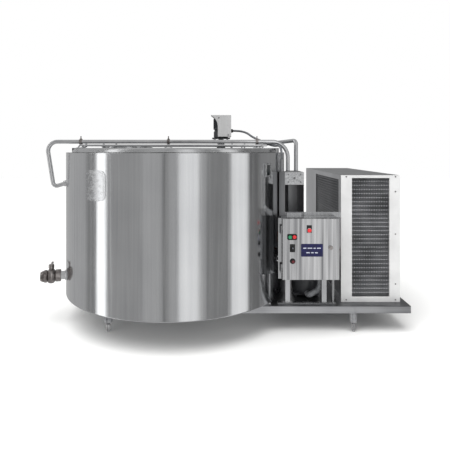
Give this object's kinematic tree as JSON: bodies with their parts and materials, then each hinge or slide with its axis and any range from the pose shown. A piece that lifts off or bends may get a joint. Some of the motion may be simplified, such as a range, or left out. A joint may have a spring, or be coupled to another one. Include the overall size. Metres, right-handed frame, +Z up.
{
  "type": "bulk milk tank",
  "caption": "Round insulated stainless milk cooling tank with hinged lids, agitator, outlet valve and a skid-mounted refrigeration set with control panel.",
  "frame": {"origin": "bottom centre of the whole object's box, on the floor; the tank's axis is 291.7 mm towards -X and 53 mm towards -Y from it", "axes": "+Z up, -Y towards the service side (outlet, panel and condenser face), +X from the tank towards the condenser cabinet"},
  "size_m": [2.2786, 1.5559, 1.324],
  "materials": {
    "stainless_jacket": "brushed vertical grain, semi-mirror",
    "stainless_sheet": "fine brushed",
    "stainless_vessel": "2B milk-side finish",
    "panel_steel": "brushed vertical grain",
    "hood_steel": "satin",
    "polished_tube": "polished",
    "chrome_fitting": "bright",
    "skid_steel": "satin",
    "cabinet_steel": "satin sheet",
    "white_enamel": "satin off-white",
    "coil_aluminium": "finned, dark",
    "copper_pipe": "drawn copper",
    "black_rubber": "matte",
    "conduit_grey": "corrugated",
    "foam": "rigid polyurethane foam",
    "motor_grey": "cast, painted",
    "compressor_black": "satin black",
    "fan_blade": "satin",
    "control_black": "fine grain",
    "lamp_red": "translucent lens",
    "button_green": "gloss",
    "plate_blue": "laminate",
    "meter_dark": "satin",
    "gear_plastic": "light grey"
  },
  "bodies": {
    "tank": {"adjustable_feet": "skid_steel", "agitator_pedestal": "motor_grey", "badge_plate": "stainless_sheet", "box_cover": "stainless_sheet", "bridge": "stainless_sheet", "cabinet": "cabinet_steel", "cable_gland": "chrome_fitting", "cip_tube": "polished_tube", "compressor": "compressor_black", "condenser_coil": "coil_aluminium", "connection_box": "stainless_sheet", "control_gear": "gear_plastic", "deck_plate": "skid_steel", "enclosure": "panel_steel", "evaporator_plate": "stainless_vessel", "fan_motors": "motor_grey", "fan_shroud": "cabinet_steel", "fasteners": "chrome_fitting", "front_frame": "white_enamel", "gearmotor": "motor_grey", "hinge_rods": "polished_tube", "inner_vessel": "stainless_vessel", "insulation": "foam", "lid_gasket": "black_rubber", "liquid_receiver": "compressor_black", "motor_cable": "conduit_grey", "motor_hood": "hood_steel", "outer_jacket": "stainless_jacket", "outlet_nuts": "chrome_fitting", "outlet_pipe": "chrome_fitting", "panel_stand": "skid_steel", "rear_tube": "polished_tube", "refrigerant_lines": "copper_pipe", "side_louvre": "cabinet_steel", "skid_frame": "skid_steel", "spray_ball": "polished_tube", "suction_line": "black_rubber", "thermometer": "meter_dark", "top_ring": "stainless_sheet", "tube_brackets": "polished_tube", "tube_clamps": "polished_tube", "valve_body": "chrome_fitting"},
    "front_lid": {"front_lid": "stainless_sheet"},
    "rear_lid": {"rear_lid": "stainless_sheet"},
    "inlet_cover": {"inlet_cover": "stainless_sheet"},
    "agitator": {"agitator_shaft": "polished_tube", "agitator_paddle": "polished_tube"},
    "valve": {"valve_disc": "chrome_fitting", "valve_handle": "chrome_fitting"},
    "lower_fan": {"lower_fan": "fan_blade"},
    "upper_fan": {"upper_fan": "fan_blade"},
    "door": {"panel_door": "panel_steel", "pilot_lamp": "lamp_red", "control_bezels": "control_black", "name_plate": "plate_blue"},
    "start_button": {"start_button": "button_green"},
    "stop_button": {"stop_button": "lamp_red"},
    "selector": {"selector_switch": "control_black"},
    "knob": {"control_knob": "control_black"},
    "lock": {"door_lock": "chrome_fitting"}
  },
  "joints": [
    {"name": "front_lid_hinge", "type": "hinge", "parent": "tank", "child": "front_lid", "pos_m": [-0.29168, -0.283, 1.118], "axis": [-1, 0, 0], "range_deg": [0, 100]},
    {"name": "rear_lid_hinge", "type": "hinge", "parent": "tank", "child": "rear_lid", "pos_m": [-0.29168, 0.177, 1.118], "axis": [1, 0, 0], "range_deg": [0, 100]},
    {"name": "inlet_cover_lift", "type": "slide", "parent": "tank", "child": "inlet_cover", "axis": [0, 0, 1], "range_m": [0, 0.06]},
    {"name": "agitator_spin", "type": "hinge", "parent": "tank", "child": "agitator", "pos_m": [0.00432, -0.053, 0.6], "axis": [0, 0, 1], "continuous": true},
    {"name": "valve_turn", "type": "hinge", "parent": "tank", "child": "valve", "pos_m": [-1.06915, -0.2907, 0.29], "axis": [0, 0, 1], "range_deg": [0, 90]},
    {"name": "lower_fan_spin", "type": "hinge", "parent": "tank", "child": "lower_fan", "pos_m": [0.92182, -0.263, 0.37], "axis": [0, 1, 0], "continuous": true},
    {"name": "upper_fan_spin", "type": "hinge", "parent": "tank", "child": "upper_fan", "pos_m": [0.92182, -0.263, 0.725], "axis": [0, 1, 0], "continuous": true},
    {"name": "door_hinge", "type": "hinge", "parent": "tank", "child": "door", "pos_m": [0.35932, -0.527, 0.512], "axis": [0, 0, -1], "range_deg": [0, 120]},
    {"name": "start_press", "type": "slide", "parent": "door", "child": "start_button", "axis": [0, 1, 0], "range_m": [0, 0.003], "stiffness_N_per_m": 500},
    {"name": "stop_press", "type": "slide", "parent": "door", "child": "stop_button", "axis": [0, 1, 0], "range_m": [0, 0.003], "stiffness_N_per_m": 500},
    {"name": "selector_turn", "type": "hinge", "parent": "door", "child": "selector", "pos_m": [0.42282, -0.533, 0.515], "axis": [0, 1, 0], "range_deg": [-45, 45]},
    {"name": "knob_turn", "type": "hinge", "parent": "door", "child": "knob", "pos_m": [0.42382, -0.533, 0.4435], "axis": [0, 1, 0], "range_deg": [-135, 135]},
    {"name": "lock_turn", "type": "hinge", "parent": "door", "child": "lock", "pos_m": [0.64432, -0.533, 0.522], "axis": [0, 1, 0], "range_deg": [0, 90]}
  ]
}
